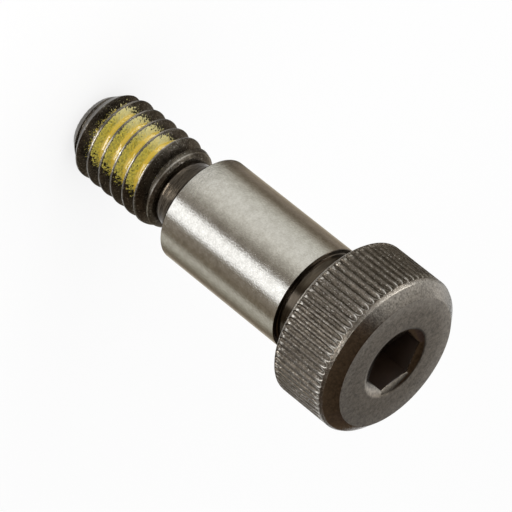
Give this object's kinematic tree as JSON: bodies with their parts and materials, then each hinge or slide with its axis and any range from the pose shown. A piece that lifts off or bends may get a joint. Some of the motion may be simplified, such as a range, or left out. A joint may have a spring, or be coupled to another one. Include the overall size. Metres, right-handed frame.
{
  "type": "shoulder bolt",
  "caption": "Socket head shoulder bolt with a knurled head, a ground shoulder and a threaded end that carries a nylon locking patch.",
  "frame": {"origin": "centre of the flat face at the threaded end, on which the bolt stands", "axes": "+Z runs along the bolt's axis from the threaded end to the head; X is square to two flats of the socket"},
  "size_m": [0.0142, 0.0142, 0.0349],
  "materials": {
    "alloy_steel": "black oxide, with the shoulder ground bright",
    "nylon": "fused yellow nylon, glossy"
  },
  "bodies": {
    "root": {"bolt": "alloy_steel", "locking_patch": "nylon"}
  },
  "joints": []
}
